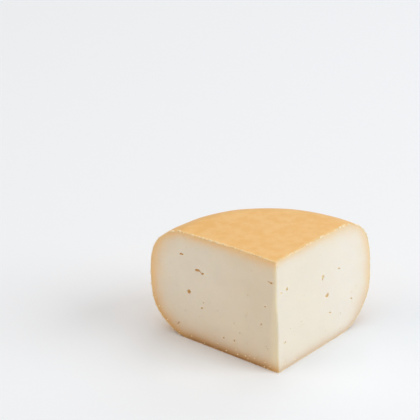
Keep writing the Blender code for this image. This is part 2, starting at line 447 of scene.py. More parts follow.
class Field:
    """One output of a node. Arithmetic on it adds Math or Vector Math nodes to its tree."""

    __add__, __radd__ = both_ways("ADD")
    __sub__, __rsub__ = both_ways("SUBTRACT")
    __mul__, __rmul__ = both_ways("MULTIPLY")
    __truediv__, __rtruediv__ = both_ways("DIVIDE")
    __mod__, __rmod__ = both_ways("MODULO")

    def __init__(self, tree, socket):
        self.tree = tree
        self.socket = socket

    def __getitem__(self, name):
        """Another output of the same node."""
        return Field(self.tree, self.socket.node.outputs[name])

    def math(self, operation, *others):
        return arithmetic(self.tree, operation, self, *others)


def is_vector(value):
    if isinstance(value, Field):
        return value.socket.type in {"VECTOR", "RGBA"}
    return isinstance(value, (tuple, Vector))


def feed(tree, socket, value):
    """Links a field to a socket, or sets the socket's own value."""
    if isinstance(value, Field):
        tree.links.new(value.socket, socket)
    elif socket.type == "VECTOR" and isinstance(value, (int, float)):
        socket.default_value = (value, value, value)
    elif socket.type == "RGBA":
        socket.default_value = (*tuple(value)[:3], 1.0)
    else:
        socket.default_value = value


def arithmetic(tree, operation, *values):
    on_vectors = any(is_vector(value) for value in values)
    node = tree.nodes.new("ShaderNodeVectorMath" if on_vectors else "ShaderNodeMath")
    node.operation = operation
    for socket, value in zip(node.inputs, values):
        feed(tree, socket, value)
    to_number = on_vectors and operation in {"DOT_PRODUCT", "LENGTH", "DISTANCE"}
    return Field(tree, node.outputs["Value" if to_number else 0])


class Maker:
    """Adds nodes to one tree."""

    def __init__(self, tree):
        self.tree = tree

    def add(self, kind, inputs=None, output=0, **settings):
        """Adds a node, sets or links its inputs, and gives one of its outputs."""
        node = self.tree.nodes.new(kind)
        for name, value in settings.items():
            setattr(node, name, value)
        for name, value in (inputs or {}).items():
            for one in value if isinstance(value, list) else [value]:
                feed(self.tree, node.inputs[name], one)
        return Field(self.tree, node.outputs[output])

    def group(self, tree, inputs):
        """Places another tree as one node."""
        kind = "GeometryNodeGroup" if tree.bl_idname == "GeometryNodeTree" else "ShaderNodeGroup"
        return self.add(kind, inputs, node_tree=tree)

    def split(self, place):
        x = self.add("ShaderNodeSeparateXYZ", {0: place})
        return x, x["Y"], x["Z"]

    def join(self, x, y, z):
        return self.add("ShaderNodeCombineXYZ", {0: x, 1: y, 2: z})

    def noise(self, place, size, detail=2.0, roughness=0.5):
        """Soft noise from 0 to 1 whose lumps are about the given size apart."""
        inputs = {"Vector": place, "Scale": 1.0 / size, "Detail": detail, "Roughness": roughness}
        return self.add("ShaderNodeTexNoise", inputs, noise_dimensions="3D")

    def ramp(self, value, start, end, low=0.0, high=1.0, smooth=True):
        """The value's way from start to end, laid over low to high and held there."""
        inputs = {"Value": value, 1: start, 2: end, 3: low, 4: high}
        kind = "SMOOTHSTEP" if smooth else "LINEAR"
        return self.add("ShaderNodeMapRange", inputs, interpolation_type=kind, clamp=True)

    def over(self, value, start, end, low=0.0, high=1.0):
        """A ramp whose start and end are in millimetres."""
        return self.ramp(value, start * MM, end * MM, low, high)

    def fall(self, value, reach):
        """Falls from 1 by a factor of e over each reach."""
        return (value / -reach).math("EXPONENT")

    def mix(self, factor, one, other):
        inputs = {0: factor, 6: one, 7: other}
        return self.add("ShaderNodeMix", inputs, output=2, data_type="RGBA")

    def on_right(self, past_corner):
        """0 at the left cut and 1 at the right one, by the place to the right of the corner."""
        return self.over(past_corner, -3.0, -1.0)


SOCKET_KINDS = {
    float: "Float",
    int: "Int",
    Vector: "Vector",
    bpy.types.Object: "Object",
    bpy.types.Material: "Material",
    type(None): "Geometry",
}
SOCKET_UNITS = {"Half Angle": "ANGLE", "Raggedness": "NONE", "Eye Roughness": "NONE"}


class TreeMaker(Maker):
    """Makes a node tree whose named inputs take their kinds and defaults from the given values."""

    def __init__(self, name, given, results, kind="GeometryNodeTree"):
        super().__init__(bpy.data.node_groups.new(name, kind))
        for label, value in given.items():
            socket = self.new_socket(label, "INPUT", SOCKET_KINDS[type(value)])
            if isinstance(value, float):
                socket.subtype = SOCKET_UNITS.get(label, "DISTANCE")
            if value is not None:
                socket.default_value = value
        for label in results:
            self.new_socket(label, "OUTPUT", "Geometry" if kind == "GeometryNodeTree" else "Float")
        inlet = self.tree.nodes.new("NodeGroupInput")
        self.given = {label: Field(self.tree, inlet.outputs[label]) for label in given}
        self.outlet = self.tree.nodes.new("NodeGroupOutput")

    def new_socket(self, label, way, kind):
        return self.tree.interface.new_socket(label, in_out=way, socket_type="NodeSocket" + kind)

    def finish(self, *results):
        for socket, value in zip(self.outlet.inputs, results):
            feed(self.tree, socket, value)
        arrange(self.tree)
        return self.tree

    def passed_on(self, labels):
        """Some of the tree's own inputs, for a group in it that has the same ones."""
        return {label: self.given[label] for label in labels}

    def position(self):
        return self.add("GeometryNodeInputPosition")

    def set_position(self, geometry, **inputs):
        named = {name.title(): value for name, value in inputs.items()}
        return self.add("GeometryNodeSetPosition", {"Geometry": geometry, **named})

    def place_of(self, geometry, index):
        """The place of one of the geometry's points."""
        inputs = {"Geometry": geometry, "Value": self.position(), "Index": index}
        return self.add("GeometryNodeSampleIndex", inputs, data_type="FLOAT_VECTOR")

    def store(self, geometry, name, value):
        inputs = {"Geometry": geometry, "Name": name, "Value": value}
        kind = "FLOAT_VECTOR" if is_vector(value) else "FLOAT"
        return self.add("GeometryNodeStoreNamedAttribute", inputs, data_type=kind)

    def stored(self, name, kind="FLOAT_VECTOR"):
        return self.add("GeometryNodeInputNamedAttribute", {"Name": name}, data_type=kind)

    def random(self, low, high, seed):
        inputs = {2: low, 3: high, 8: seed}
        return self.add("FunctionNodeRandomValue", inputs, output=1, data_type="FLOAT")

    def merged(self, geometry):
        inputs = {"Geometry": geometry, "Distance": MERGE_DISTANCE}
        return self.add("GeometryNodeMergeByDistance", inputs)

    def balls_on(self, points, subdivisions):
        """A ball on each point, of the point's own stored size and turn."""
        inputs = {
            "Points": points,
            "Instance": self.add(
                "GeometryNodeMeshIcoSphere", {"Radius": 0.5, "Subdivisions": subdivisions}
            ),
            "Rotation": self.add("FunctionNodeEulerToRotation", {0: self.stored("turn")}),
            "Scale": self.stored("size"),
        }
        balls = self.add("GeometryNodeInstanceOnPoints", inputs)
        return self.add("GeometryNodeRealizeInstances", {"Geometry": balls})

    def dressed(self, geometry, look):
        """The geometry with its instances made real and its material set."""
        real = self.add("GeometryNodeRealizeInstances", {"Geometry": geometry})
        return self.add("GeometryNodeSetMaterial", {"Geometry": real, "Material": look})


def arrange(tree):
    """Lays a tree's nodes out from left to right, in the order in which they feed each other."""
    column = {}

    def place(node):
        if node not in column:
            column[node] = 0
            feeders = [link.from_node for socket in node.inputs for link in socket.links]
            column[node] = 1 + max((place(feeder) for feeder in feeders), default=-1)
        return column[node]

    for node in tree.nodes:
        place(node)
    filled = {}
    for node in tree.nodes:
        row = filled.get(column[node], 0)
        node.location = (220 * column[node], -190 * row)
        filled[column[node]] = row + 1


def tree_once(name, make):
    """The tree of that name, made at its first use."""
    return bpy.data.node_groups.get(name) or make()


# The wheel's profile and the rind's surface.


def evenly(path, steps):
    """The same path in steps of one length."""
    lengths = np.hypot(*np.diff(path, axis=0).T)
    travelled = np.concatenate([[0.0], np.cumsum(lengths)])
    stops = np.linspace(0.0, travelled[-1], steps + 1)
    return np.column_stack([np.interp(stops, travelled, column) for column in path.T])


def quarter(wheel, flat_radius, flat_height, run_power, rise_power):
    """(radius, height) along a quarter superellipse, from the flat to the belly."""
    turn = np.linspace(math.pi / 2, 0.0, 400)
    run = (wheel.wheel_radius - flat_radius) * np.cos(turn).clip(0.0) ** (2 / run_power)
    rise = (flat_height - wheel.belly_height) * np.sin(turn) ** (2 / rise_power)
    return np.column_stack([flat_radius + run, wheel.belly_height + rise])


def profile_rows(wheel, inset):
    """Rows of (ring radius, share of the way out from the corner, height), top to base.

    The surface lies the given inset beneath the wheel's own.
    """
    upper = quarter(
        wheel, wheel.top_radius, wheel.shoulder_height, wheel.top_run_power, wheel.top_rise_power
    )
    lower = quarter(wheel, wheel.base_radius, 0.0, wheel.base_run_power, wheel.base_rise_power)
    side = evenly(np.vstack([upper, lower[::-1][1:]]), wheel.shoulder_rows)
    run, rise = np.gradient(side, axis=0).T
    run[[0, -1]], rise[[0, -1]] = (1.0, -1.0), 0.0
    inward = np.column_stack([rise, -run]) / np.hypot(run, rise)[:, None]
    side = side + inset * inward
    shares = np.linspace(0.0, 1.0, wheel.dome_rows + 1)[:-1] ** CROWDING
    top = [(wheel.top_radius, share, wheel.shoulder_height - inset) for share in shares]
    base = [(wheel.base_radius, share, inset) for share in shares[::-1]]
    return top + [(radius, 1.0, height) for radius, height in side] + base


def shape_values(labels):
    """The values of the wheel's and the cuts' properties with those names."""
    gouda = bpy.context.scene.goat_gouda
    values = {}
    for label in labels:
        name = label.lower().replace(" ", "_")
        value = getattr(gouda.cuts if hasattr(gouda.cuts, name) else gouda.wheel, name)
        values[label] = value if isinstance(value, (int, float)) else Vector(value)
    return values


def skin_tree():
    """The rind's surface: the profile's rows, swung about the corner from cut to cut."""
    given = {"Profile": None, "Columns": PASTE_COLUMNS, **shape_values(SKIN_INPUTS)}
    m = TreeMaker("wheel_skin", given, ["Skin"])
    g = m.given
    rows = m.add("GeometryNodeAttributeDomainSize", {0: g["Profile"]}, output="Point Count")
    grid = m.add("GeometryNodeMeshGrid", {"Vertices X": g["Columns"] + 1, "Vertices Y": rows})
    index = m.add("GeometryNodeInputIndex")
    column = (index / rows).math("FLOOR")
    ring, share, level = m.split(m.place_of(g["Profile"], index % rows))
    turn = (column / g["Columns"] * 2.0 - 1.0) * g["Half Angle"]
    direction = m.join(turn.math("SINE"), turn.math("COSINE"), 0.0)
    corner = g["Corner"] + g["Lean"] * level
    middle = g["Corner"] + g["Wheel Middle"]
    flat = (1.0, 1.0, 0.0)
    apart = (middle - corner) * flat
    ahead = apart.math("DOT_PRODUCT", direction)
    beside = ring * ring + ahead * ahead - apart.math("DOT_PRODUCT", apart)
    reach = (ahead + beside.math("SQRT")) * share
    place = corner + direction * reach
    out = ((place - middle) * flat).math("LENGTH") / ring
    dome = g["Dome Rise"] * (1.0 - out * out) * level.math("GREATER_THAN", g["Belly Height"])
    skin = m.set_position(grid, position=place + m.join(0.0, 0.0, dome))

    lumps = m.noise(m.position(), g["Uneven Length"], detail=1.0)
    _, _, height = m.split(m.position())
    fade = (height / g["Uneven Fade"]).math("MINIMUM", 1.0)
    heart = middle + m.join(0.0, 0.0, g["Belly Height"])
    away = (m.position() - heart).math("NORMALIZE")
    skin = m.set_position(skin, offset=away * ((lumps - 0.5) * 2.0 * g["Unevenness"] * fade))
    skin = m.store(skin, "outward", m.add("GeometryNodeInputNormal"))
    swing = turn.math("ABSOLUTE")
    skin = m.store(skin, "side_share", swing / g["Half Angle"])
    return m.finish(m.store(skin, "rim_distance", (g["Half Angle"] - swing) * reach))


def placed_skin(m, columns):
    """The rind's surface, placed in the tree of a piece that starts from the profile."""
    inputs = {"Profile": m.given["Profile"], "Columns": columns, **m.passed_on(SKIN_INPUTS)}
    return m.group(tree_once("wheel_skin", skin_tree), inputs)


def cut_face_tree():
    """A cut face: a patch between the corner's edge and one side column of the skin."""
    given = {"Skin": None, "Column": 0, **shape_values(CUT_INPUTS)}
    m = TreeMaker("cut_face", given, ["Face"])
    g = m.given
    across, down = g["Dome Rows"], g["Shoulder Rows"]
    rows = across * 2.0 + down + 1.0
    grid = m.add("GeometryNodeMeshGrid", {"Vertices X": across + 1, "Vertices Y": down + 1})
    index = m.add("GeometryNodeInputIndex")
    aside = (index / (down + 1.0)).math("FLOOR")
    below = index % (down + 1.0)

    def rim(row):
        return m.place_of(g["Skin"], g["Column"] * rows + row)

    s, w = (aside / across).math("POWER", CROWDING), below / down
    top, side, base = rim(aside), rim(across + below), rim(rows - 1.0 - aside)
    top_end, base_end = rim(across), rim(across + down)
    straight = top_end * (1.0 - w) + base_end * w
    place = top * (1.0 - w) + base * w + (side - straight) * s
    from_edge = (place - (rim(0.0) * (1.0 - w) + rim(rows - 1.0) * w)).math("LENGTH")
    _, _, height = m.split(place)
    low = (g["Step Height"] - height) / g["Step Reach"]
    swell = low * ((1.0 - low * low) / 2.0).math("EXPONENT") * g["Step Swell"]
    shift = swell * (from_edge / g["Step Fade"] * -1.0).math("EXPONENT")

    near = (from_edge / g["Corner Round"]).math("MINIMUM", 1.0)
    inward = math.sqrt(2.0) - near * math.sqrt(0.5) - (1.0 - near * near * 0.5).math("SQRT")
    rounded = inward * g["Corner Round"] * m.ramp(w, 0.0, 0.05) * m.ramp(w, 1.0, 0.96)
    return m.finish(m.set_position(grid, position=place + m.join(shift, rounded, 0.0)))


def paste_tree(values):
    """The wedge's inside: skin and cut faces joined to a solid, and its eyes taken out."""
    m = TreeMaker("paste_body", values, ["Paste"])
    g = m.given
    skin = placed_skin(m, g["Columns"])
    face = tree_once("cut_face", cut_face_tree)
    form = m.passed_on(CUT_INPUTS)
    left = m.group(face, {"Skin": skin, "Column": 0, **form})
    right = m.group(face, {"Skin": skin, "Column": g["Columns"], **form})
    right = m.add("GeometryNodeFlipFaces", {"Mesh": right})
    whole = m.merged(m.add("GeometryNodeJoinGeometry", {"Geometry": [skin, left, right]}))

    spots = m.add("GeometryNodeObjectInfo", {"Object": g["Eye Spots"]}, output="Geometry")
    eyes = m.balls_on(m.store(spots, "spot", m.position()), 3)
    from_spot = m.position() - m.stored("spot")
    lumps = (m.noise(m.position(), 2.0 * MM, detail=1.0) - 0.5) * 2.0
    eyes = m.set_position(eyes, offset=from_spot * (lumps * g["Eye Roughness"]))
    cheese = m.add(
        "GeometryNodeMeshBoolean",
        {"Mesh 1": whole, "Mesh 2": eyes, "Self Intersection": True},
        operation="DIFFERENCE",
        solver="EXACT",
    )
    for name, surface in (("rind_depth", skin), ("eye_depth", whole)):
        depth = m.add(
            "GeometryNodeProximity", {0: surface}, output="Distance", target_element="FACES"
        )
        cheese = m.store(cheese, name, depth)
    return m.finish(m.dressed(cheese, g["Paste Material"]))


def coat_tree(values):
    """The rind's outer surface. Its thickness comes from a Solidify modifier."""
    m = TreeMaker("rind_coat", values, ["Coat"])
    skin = m.merged(placed_skin(m, m.given["Columns"]))
    return m.finish(m.dressed(skin, m.given["Rind Material"]))


def rim_curves(m):
    """The two curves along which the cuts leave the rind."""
    at_cut = m.stored("side_share", "FLOAT").math("GREATER_THAN", OUTERMOST)
    skin = placed_skin(m, RIM_COLUMNS)
    return m.add("GeometryNodeMeshToCurve", {"Mesh": skin, "Selection": at_cut})


def above_floor(m, geometry):
    """The geometry with nothing of it under the floor."""
    x, y, z = m.split(m.position())
    return m.set_position(geometry, position=m.join(x, y, z.math("MAXIMUM", 0.0)))


def lip_tree(values):
    """A ragged bead along both rims: thick, thin and nearly gone by turns.

    It is thin beside the belly, and thinner still at the base.
    """
    m = TreeMaker("rim_lip", values, ["Lip"])
    g = m.given
    path = m.add(
        "GeometryNodeResampleCurve", {"Curve": rim_curves(m), "Length": LIP_STEP}, mode="LENGTH"
    )
    bead = m.add("GeometryNodeCurvePrimitiveCircle", {"Resolution": 8, "Radius": 1.0})
    drift = m.position() + m.join(g["Seed"] * 0.37, 0.0, 0.0)
    slow = m.noise(drift, 9.0 * MM, detail=1.0) - 0.5
    quick = m.noise(drift, 1.7 * MM, detail=2.0) - 0.5
    thick = (slow * 0.8 + quick) * g["Raggedness"] + LIP_MIDDLING
    past_corner, _, height = m.split(m.position() - g["Corner"])
    beside_belly = m.over(height, *SHOULDER, 0.5, 1.0)
    thin = m.over(height, 4.0, 14.0, m.on_right(past_corner) * 0.3 + 0.08, beside_belly)
    thick = thick.math("MAXIMUM", LIP_LEAST) * thin * g["Lip Radius"]
    lip = m.add(
        "GeometryNodeCurveToMesh",
        {"Curve": path, "Profile Curve": bead, "Scale": thick, "Fill Caps": True},
    )
    push = m.noise(m.position(), 1.1 * MM, detail=1.0) - 0.35
    lip = m.set_position(lip, offset=m.stored("outward") * (push * g["Lip Radius"] * 0.9))
    return m.finish(m.dressed(above_floor(m, lip), g["Lip Material"]))


def crumb_tree(values):
    """Crumbs scattered along both rims, most of them close to the edge, and the larger flecks.

    A fleck that was set down close to a rim is moved onto it.
    """
    m = TreeMaker("rim_crumbs", values, ["Crumbs"])
    g = m.given
    seed = g["Seed"]
    path = rim_curves(m)
    points = m.add("GeometryNodeCurveToPoints", {"Curve": path, "Count": g["Crumbs"]}, mode="COUNT")
    near = m.random(0.0, 1.0, seed)
    far = near * near * near * near * g["Scatter"]
    shift = m.stored("outward") * (far * -1.0 + g["Crumb Size"] * 0.3)
    along = points["Tangent"] * (m.random(-1.0, 1.0, seed + 1.0) * g["Crumb Size"] * 3.0)
    points = m.set_position(points, offset=shift + along)
    small = m.random(0.3, 1.0, seed + 2.0)
    wide = small * m.random(0.6, 1.3, seed + 3.0)
    flat = small * m.random(0.5, 0.9, seed + 4.0)
    turn = m.join(*(m.random(-TUMBLE, TUMBLE, seed + draw) for draw in (5.0, 6.0, 7.0)))
    points = m.store(points, "size", m.join(wide, small, flat) * g["Crumb Size"])
    points = m.store(points, "turn", turn)

    flecks = m.add("GeometryNodeObjectInfo", {"Object": g["Fleck Spots"]}, output="Geometry")
    rims = m.add("GeometryNodeCurveToMesh", {"Curve": path})
    nearest = m.add("GeometryNodeProximity", {0: rims}, target_element="EDGES")
    close = nearest["Distance"].math("LESS_THAN", g["Snap Distance"])
    flecks = m.set_position(flecks, selection=close, position=nearest)
    crumbs = m.balls_on(m.add("GeometryNodeJoinGeometry", {"Geometry": [points, flecks]}), 2)
    lumps = m.noise(m.position(), 0.8 * MM, detail=1.0) - 0.5
    normal = m.add("GeometryNodeInputNormal")
    crumbs = m.set_position(crumbs, offset=normal * (lumps * g["Crumb Size"] * 0.5))
    return m.finish(m.dressed(above_floor(m, crumbs), g["Crumb Material"]))


# Placing and finishing pieces.


def face_frame(cuts, face, along, up, slope):
    """A frame on a cut face: X level and to the right as seen from outside, Y up it, Z outward."""
    side = -1.0 if face == "left" else 1.0
    level = Vector((side * math.sin(cuts.half_angle), math.cos(cuts.half_angle), 0.0))
    rightward = level * side
    outward = rightward.cross(Vector(cuts.lean)).normalized()
    turned = Matrix((rightward, outward.cross(rightward), outward)).transposed().to_4x4()
    place = Matrix.Translation(Vector(cuts.corner) + Vector(cuts.lean) * up + level * along)
    return place @ turned @ Matrix.Rotation(math.radians(slope), 4, "Z")


def add_piece(name, mesh):
    piece = bpy.data.objects.new(name, mesh)
    bpy.context.scene.collection.objects.link(piece)
    return piece


def both_cuts(left, right):
    """The rows of both cut faces' tables, each with its face."""
    return [("left", *row) for row in left] + [("right", *row) for row in right]


def face_spots(name, cuts, rows, rise):
    """One vertex for each row of a table, with its size and turn as attributes.

    It stands out of the cut face by the given share of its depth.
    """
    places, sizes, turns = [], [], []
    for face, along, up, width, height, deep, slope in rows:
        at = face_frame(cuts, face, along * MM, up * MM, slope)
        places.append(at @ Vector((0.0, 0.0, rise * deep * MM)))
        sizes.append(Vector((width, height, 2 * deep)) * MM)
        turns.append(at.to_euler("XYZ"))
    mesh = bpy.data.meshes.new(name)
    mesh.from_pydata(places, [], [])
    for label, values in (("size", sizes), ("turn", turns)):
        layer = mesh.attributes.new(label, "FLOAT_VECTOR", "POINT")
        layer.data.foreach_set("vector", [part for value in values for part in value])
    return add_piece(name, mesh)


def grown(name, inset, make_tree, values):
    """A piece that its tree grows from the wheel's profile, at the given inset."""
    values = {"Profile": None, **shape_values(SKIN_INPUTS), **values}
    mesh = bpy.data.meshes.new(name)
    mesh.from_pydata(profile_rows(bpy.context.scene.goat_gouda.wheel, inset), [], [])
    piece = add_piece(name, mesh)
    modifier = piece.modifiers.new(name, "NODES")
    modifier.node_group = make_tree(values)
    for item in modifier.node_group.interface.items_tree:
        if item.item_type == "SOCKET" and item.in_out == "INPUT":
            if values.get(item.name) is not None:
                modifier[item.identifier] = values[item.name]
    return piece


def settle(piece, sharp):
    """Turns what a piece's modifiers make into its own plain mesh, which stands for the node.

    The mesh is smooth but for edges sharper than the given angle.
    """
    graph = bpy.context.evaluated_depsgraph_get()
    mesh = bpy.data.meshes.new_from_object(
        piece.evaluated_get(graph), preserve_all_data_layers=True, depsgraph=graph
    )
    piece.modifiers.clear()
    old = piece.data
    piece.data = mesh
    bpy.data.meshes.remove(old)
    mesh.name = piece.name
    if not mesh.polygons:
        raise RuntimeError(f"{piece.name} came out empty")
    mesh.shade_smooth()
    mesh.set_sharp_from_angle(angle=math.radians(sharp))
    for name in ("outward", "side_share", "spot", "size", "turn"):
        if name in mesh.attributes:
            mesh.attributes.remove(mesh.attributes[name])
    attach(piece, BODY)
    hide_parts(NODE)


# Finishes.


def grain_tree():
    """Slow patches and fine grain, used by every finish of the cheese."""
    given = {"Patch Size": 30.0 * MM, "Grain Size": 1.2 * MM}
    m = TreeMaker("cheese_grain", given, ["Patches", "Grain"], "ShaderNodeTree")
    place = m.add("ShaderNodeTexCoord", output="Object")
    patches = m.noise(place, m.given["Patch Size"], detail=3.0, roughness=0.55)
    grain = m.noise(place, m.given["Grain Size"], detail=4.0, roughness=0.65)
    return m.finish(patches, grain)


class FinishMaker(Maker):
    """Makes a material."""

    def __init__(self, name):
        self.material = bpy.data.materials.new(name)
        self.material.use_nodes = True
        super().__init__(self.material.node_tree)

    def place(self):
        return self.add("ShaderNodeTexCoord", output="Object")

    def grain(self, patch_size, grain_size):
        inputs = {"Patch Size": patch_size * MM, "Grain Size": grain_size * MM}
        return self.group(tree_once("cheese_grain", grain_tree), inputs)

    def attribute(self, name):
        return self.add("ShaderNodeAttribute", output="Fac", attribute_name=name)

    def shade(self, grain, dark, light):
        """The grain's own light and shade, as a factor."""
        return self.ramp(grain["Grain"], 0.3, 0.7, dark, light, smooth=False)

    def bump(self, height, distance, strength):
        inputs = {"Strength": strength, "Distance": distance * MM, "Height": height}
        return self.add("ShaderNodeBump", inputs)

    def finish(self, looks):
        """The material, with the shader's named sockets set or linked."""
        shader = self.tree.nodes["Principled BSDF"].inputs
        for name, value in looks.items():
            feed(self.tree, shader[name], value)
        arrange(self.tree)
        return self.material


def paste_finish(look, cuts):
    """Creamy, faintly clouded and moist; dried peach and brown at the rind and tan in the eyes,
    partly painted glow and shade; the left cut is a darker, warmer copy of the right, as painted
    shade.
    """
    m = FinishMaker("gouda_paste")
    grain = m.grain(22.0, 0.9)
    place = m.place()
    _, _, height = m.split(place)
    apart = place - Vector(cuts.corner) - height * Vector(cuts.lean)
    past_corner, _, _ = m.split(apart)
    from_corner = (apart * (1.0, 1.0, 0.0)).math("LENGTH")

    def by_cut(left, right):
        """One value on the left cut and another on the right."""
        return m.over(past_corner, 0.0, 1.4, left, right)

    def mix_cuts(left, right):
        return m.mix(by_cut(1.0, 0.0), right, left)

    # The left cut: painted shade near the corner, paler by painted light further away.
    left_paste = m.mix(m.over(from_corner, 10.0, 95.0), look.cream, look.pale)
    # Painted shade low down on the left cut.
    low_far_shade = m.fall(height, 20.0 * MM) * m.over(from_corner, 15.0, 75.0)
    left_paste = m.mix(low_far_shade, left_paste, look.painted_foot_shade)
    # Painted light along the corner's edge of the left cut.
    corner_glow_reach = m.over(height, 30.0, 80.0, 10.5 * MM, 4.5 * MM)
    left_paste = m.mix(m.ramp(from_corner, 1.0 * MM, corner_glow_reach, 1.0, 0.0), left_paste, look.edge)
    right_paste = m.mix(m.over(from_corner, 30.0, 100.0), look.ivory, look.milk)
    paste = mix_cuts(left_paste, right_paste)
    cloud = m.ramp(grain["Patches"], 0.35, 0.65, -1.0, 1.0) * look.cloud * by_cut(1.0, 0.4)
    paste = paste * (cloud + 1.0)

    # Dried paste by the rind; on the left cut, partly painted glow up high and painted shade low
    # down.
    dried_glow_and_shade_left = m.mix(m.over(height, 12.0, 50.0), look.tan_and_shade_left, look.peach_and_glow_left)
    dried_right = m.mix(m.over(height, 2.0, 40.0), look.tan_right, look.peach_right)
    narrow = m.over(from_corner, 10.0, 70.0, 0.7, 1.0)
    base_reach = by_cut(1.0, 0.72) * look.base_reach
    low = m.over(height, 5.0, 26.0, base_reach, look.side_reach)
    reach = m.over(height, 68.0, 95.0, low, by_cut(1.0, narrow) * look.top_reach)
    uneven = m.noise(place, 16.0 * MM, detail=2.0) + 0.5
    depth = (m.attribute("rind_depth") / (reach * uneven)).math("POWER", 1.5)
    dried = m.fall(depth, 1.0) * by_cut(1.0, 0.88)
    paste = m.mix(dried, paste, mix_cuts(dried_glow_and_shade_left, dried_right))

    # Painted contact shade along the left cut's base, partly a browned edge, faded towards the
    # corner and the far rim.
    higher = m.over(from_corner, 30.0, 65.0, -1.0, -1.2) * look.crust_and_shade_height
    crust_and_contact_shade = (height / higher).math("EXPONENT") * by_cut(1.0, 0.0)
    crust_and_contact_shade = crust_and_contact_shade * m.over(from_corner, 2.0, 16.0, 0.2, 0.97)
    crust_and_contact_shade = crust_and_contact_shade * m.over(from_corner, 86.0, 104.0, 1.0, 0.55)
    paste = m.mix(crust_and_contact_shade, paste, look.crust_and_contact_shade)
    # Painted shade in the eyes: deeper than the cut face, the paste turns tan.
    hollow = m.ramp(m.attribute("eye_depth"), 0.03 * MM, look.eye_depth)
    paste = m.mix(hollow, paste, mix_cuts(look.eye_left, look.eye_right))
    return m.finish(
        {
            "Base Color": paste * m.shade(grain, 0.975, 1.02),
            "Roughness": m.ramp(grain["Grain"], 0.3, 0.7, 0.5, 0.62),
            "Normal": m.bump(grain["Grain"], 0.05, 0.6),
            "Subsurface Weight": 0.25,
            "Subsurface Radius": (1.0, 0.75, 0.45),
            "Subsurface Scale": 1.2 * MM,
            "Specular IOR Level": 0.4,
        }
    )


def rind_finish(look, cuts):
    """A satin coating: finely mottled orange and honey, worn pale at the cut, with a painted glow
    line along the rims, and brown at the base, partly painted contact shade.
    """
    m = FinishMaker("gouda_rind")
    grain = m.grain(8.0, 1.3)
    place = m.place()
    mottle = grain["Patches"] * 0.8 + m.noise(place, 30.0 * MM, detail=1.0) * 0.2
    tone = m.mix(m.ramp(mottle, 0.37, 0.63), look.orange, look.honey)
    past_corner, _, height = m.split(place - Vector(cuts.corner))
    from_rim = m.attribute("rim_distance")

    edge = 1.0 - m.ramp(from_rim, 0.0, look.worn_width)
    edge = edge * m.over(height, 92.0, 101.0, 0.8, 0.5) * m.over(height, 0.0, 12.0)
    far_right = m.over(past_corner, 45.0, 70.0, 1.0, 0.2)
    edge = edge * m.over(height, 86.0, 95.0, 1.0, far_right)
    tone = m.mix(edge, tone, look.worn)

    right = m.on_right(past_corner)
    # Painted light: a pale glow line along the rims' cut edge, faint at the left cut's base.
    painted_rim_glow = m.over(from_rim, 0.3, 1.5, 0.9, 0.0) * m.over(height, 86.0, 100.0, 1.0, 0.0)
    painted_rim_glow = painted_rim_glow * m.over(height, 0.0, 16.0, right * 0.9, 1.0)
    painted_rim_glow = painted_rim_glow * m.ramp(m.noise(place, 2.5 * MM, detail=1.0), 0.35, 0.55, 0.6, 1.0)
    tone = m.mix(painted_rim_glow, tone, m.mix(right, look.pale_left, look.pale_right))

    # Painted contact shade at the base, stronger on the left cut, partly the rind's own brown.
    browned_and_shaded = m.fall(height, 3.0 * MM) * m.over(past_corner, -14.0, -3.0, 0.9, 0.36)
    tone = m.mix(browned_and_shaded, tone, look.base_brown_and_shade)
    peel = m.noise(place, 5.0 * MM, detail=2.0)
    return m.finish(
        {
            "Base Color": tone * m.shade(grain, 0.985, 1.012),
            "Roughness": m.ramp(mottle, 0.3, 0.7, 0.40, 0.52),
            "Normal": m.bump(peel * 0.6 + grain["Grain"] * 0.15, 0.35, 0.5),
            "Subsurface Weight": 0.08,
            "Subsurface Radius": (1.0, 0.6, 0.3),
            "Subsurface Scale": 1.5 * MM,
        }
    )


def flake_finish(name, look, cuts, middle):
    """Torn coat and crumbs: rough, from peach to pale. The higher the middle, the less is pale.

    Beside the belly nearly all of it is pale, as painted rim light.
    """
    m = FinishMaker(name)
    grain = m.grain(3.0, 0.7)
    past_corner, _, height = m.split(m.place() - Vector(cuts.corner))
    # Painted rim light: more of it is pale beside the belly.
    beside = m.over(height, *SHOULDER, 0.14, 0.0)
    pale = m.ramp(grain["Patches"] + beside, middle - 0.1, middle + 0.1)
    # Painted warm light: the left cut's palest colour is the warmer one.
    palest = m.mix(m.on_right(past_corner), look.pale_left, look.pale_right)
    tone = m.mix(pale, look.lip_colour, palest)
    return m.finish(
        {
            "Base Color": tone * m.shade(grain, 0.94, 1.04),
            "Normal": m.bump(grain["Grain"], 0.1, 0.5),
            "Roughness": 0.5,
        }
    )


# Operators: one for each piece or group of like pieces, and one for the stage.


class AddPaste(bpy.types.Operator):
    """Adds the paste: the wedge's solid inside, with eyes and pinholes in both cut faces"""

    bl_idname = "goat_gouda.add_paste"
    bl_label = "Add Paste"

    def execute(self, context):
        gouda = context.scene.goat_gouda
        pinholes = [
            (face, along, up, width, width, deep, 0)
            for face, along, up, width, deep in both_cuts(LEFT_PINHOLES, RIGHT_PINHOLES)
        ]
        rows = both_cuts(LEFT_EYES, RIGHT_EYES) + pinholes
        spots = face_spots("eye_spots", gouda.cuts, rows, EYE_RISE)
        values = {
            "Columns": PASTE_COLUMNS,
            **shape_values(CUT_INPUTS),
            "Eye Roughness": gouda.paste.eye_roughness,
            "Eye Spots": spots,
            "Paste Material": paste_finish(gouda.paste, gouda.cuts),
        }
        paste = grown("paste_body", gouda.rind.coat * PASTE_DEPTH, paste_tree, values)
        settle(paste, SMOOTH_PIECE)
        bpy.data.objects.remove(spots)
        return {"FINISHED"}


